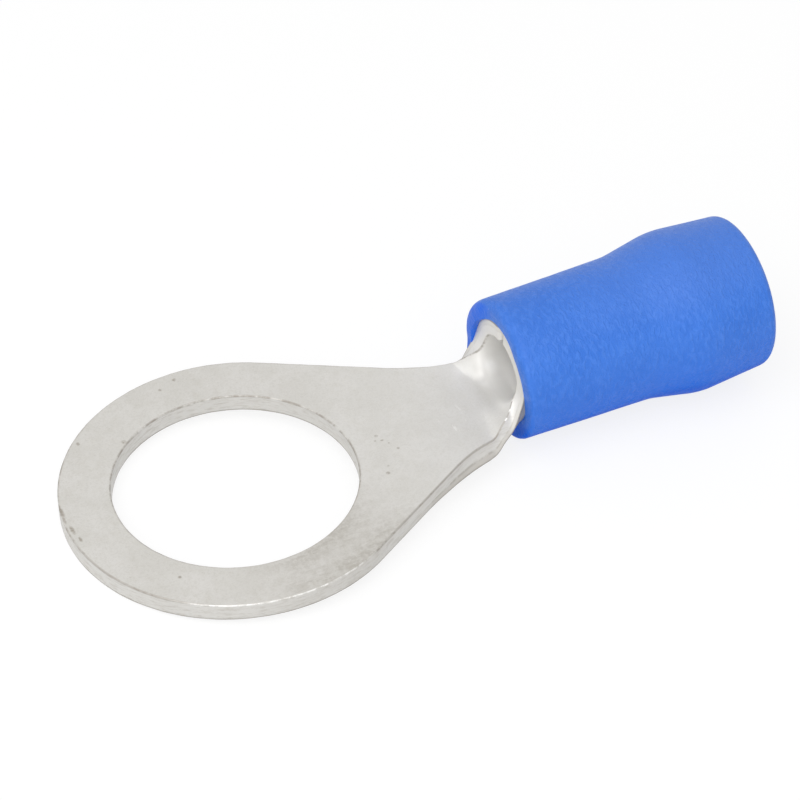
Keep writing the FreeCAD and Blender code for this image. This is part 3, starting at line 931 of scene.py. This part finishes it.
def resting_slope():
    """The terminal lies on the ring's tip and on the sleeve. Returns the tip and the slope between them."""
    ring = terminal_points[terminal_points[:, 0] < 0]
    tip = ring[np.argmin(ring[:, 2] + FIRST_SLOPE * ring[:, 0])]
    slopes = (sleeve_points[:, 2] - tip[2]) / (sleeve_points[:, 0] - tip[0])
    return tip, float(slopes.min())


def seen_directly(tree, share):
    """Socket with the share for camera, glossy and transmission rays, and 0 for all others."""
    path = tree.nodes.new("ShaderNodeLightPath")
    result = path.outputs["Is Camera Ray"]
    for other in ("Is Glossy Ray", "Is Transmission Ray"):
        node = tree.nodes.new("ShaderNodeMath")
        node.operation = "MAXIMUM"
        tree.links.new(result, node.inputs[0])
        tree.links.new(path.outputs[other], node.inputs[1])
        result = node.outputs[0]
    node = tree.nodes.new("ShaderNodeMath")
    node.operation = "MULTIPLY"
    tree.links.new(result, node.inputs[0])
    node.inputs[1].default_value = share
    return node.outputs[0]


def blend_seen(tree, output, unseen, seen, share):
    """Show one shader to rays that see directly, by a share, and another to all others."""
    blend = tree.nodes.new("ShaderNodeMixShader")
    tree.links.new(seen_directly(tree, share), blend.inputs["Fac"])
    tree.links.new(unseen.outputs[0], blend.inputs[1])
    tree.links.new(seen.outputs[0], blend.inputs[2])
    tree.links.new(blend.outputs[0], output.inputs["Surface"])


def make_floor():
    tip, slope = resting_slope()
    corners = [(x, y, tip[2] + slope * (x - tip[0]) - FLOOR_GAP) for x, y in
               ((-FLOOR_REACH, -FLOOR_REACH), (FLOOR_REACH, -FLOOR_REACH),
                (FLOOR_REACH, FLOOR_REACH), (-FLOOR_REACH, FLOOR_REACH))]
    floor = make_object("floor", corners, [(0, 1, 2, 3)])
    material = bpy.data.materials.new("floor")
    material.use_nodes = True
    tree = material.node_tree
    tree.nodes.clear()
    output = tree.nodes.new("ShaderNodeOutputMaterial")
    cover = tree.nodes.new("ShaderNodeBsdfDiffuse")
    cover.inputs["Color"].default_value = FLOOR_TONE
    glow = tree.nodes.new("ShaderNodeEmission")
    glow.inputs["Strength"].default_value = FLOOR_GLOW
    blend_seen(tree, output, cover, glow, FLOOR_GLOW_SHARE)
    floor.data.materials.append(material)


def make_world():
    world = bpy.data.worlds.new("studio")
    bpy.context.scene.world = world
    world.use_nodes = True
    tree = world.node_tree
    tree.nodes.clear()
    output = tree.nodes.new("ShaderNodeOutputWorld")
    room = tree.nodes.new("ShaderNodeBackground")
    room.inputs["Color"].default_value = WHITE
    room.inputs["Strength"].default_value = ROOM_LIGHT
    backdrop = tree.nodes.new("ShaderNodeBackground")
    backdrop.inputs["Color"].default_value = WHITE
    backdrop.inputs["Strength"].default_value = BACKDROP_LIGHT
    blend_seen(tree, output, room, backdrop, 1.0)


def make_softbox(name, place, watts):
    lamp = bpy.data.lights.new(name, "AREA")
    lamp.shape = "SQUARE"
    lamp.size = SOFTBOX_SIZE * MM
    lamp.energy = watts
    box = bpy.data.objects.new(name, lamp)
    box.location = Vector(place) * MM
    aim = Vector(SOFTBOX_AIM) * MM - box.location
    box.rotation_euler = aim.to_track_quat("-Z", "Y").to_euler()
    bpy.context.scene.collection.objects.link(box)


def make_camera():
    data = bpy.data.cameras.new("camera")
    data.sensor_width = SENSOR
    data.lens = LENS
    data.clip_start = CLIP_START * MM
    data.clip_end = CLIP_END * MM
    camera = bpy.data.objects.new("camera", data)
    azimuth, elevation = math.radians(CAMERA_AZIMUTH), math.radians(CAMERA_ELEVATION)
    roll = math.radians(CAMERA_ROLL)
    back = Vector((math.sin(azimuth) * math.cos(elevation),
                   -math.cos(azimuth) * math.cos(elevation), math.sin(elevation)))
    level_right = Vector((0, 0, 1)).cross(back).normalized()
    level_up = back.cross(level_right)
    right = level_right * math.cos(roll) + level_up * math.sin(roll)
    up = level_up * math.cos(roll) - level_right * math.sin(roll)
    turned = Matrix((right, up, back)).transposed()
    camera.matrix_world = Matrix.Translation(Vector(CAMERA_PLACE) * MM) @ turned.to_4x4()
    bpy.context.scene.collection.objects.link(camera)
    bpy.context.scene.camera = camera


make_floor()
make_world()
make_softbox("key", KEY_PLACE, KEY_WATTS)
make_softbox("fill", FILL_PLACE, FILL_WATTS)
make_camera()

settings = bpy.context.scene.view_settings
settings.view_transform = "Standard"
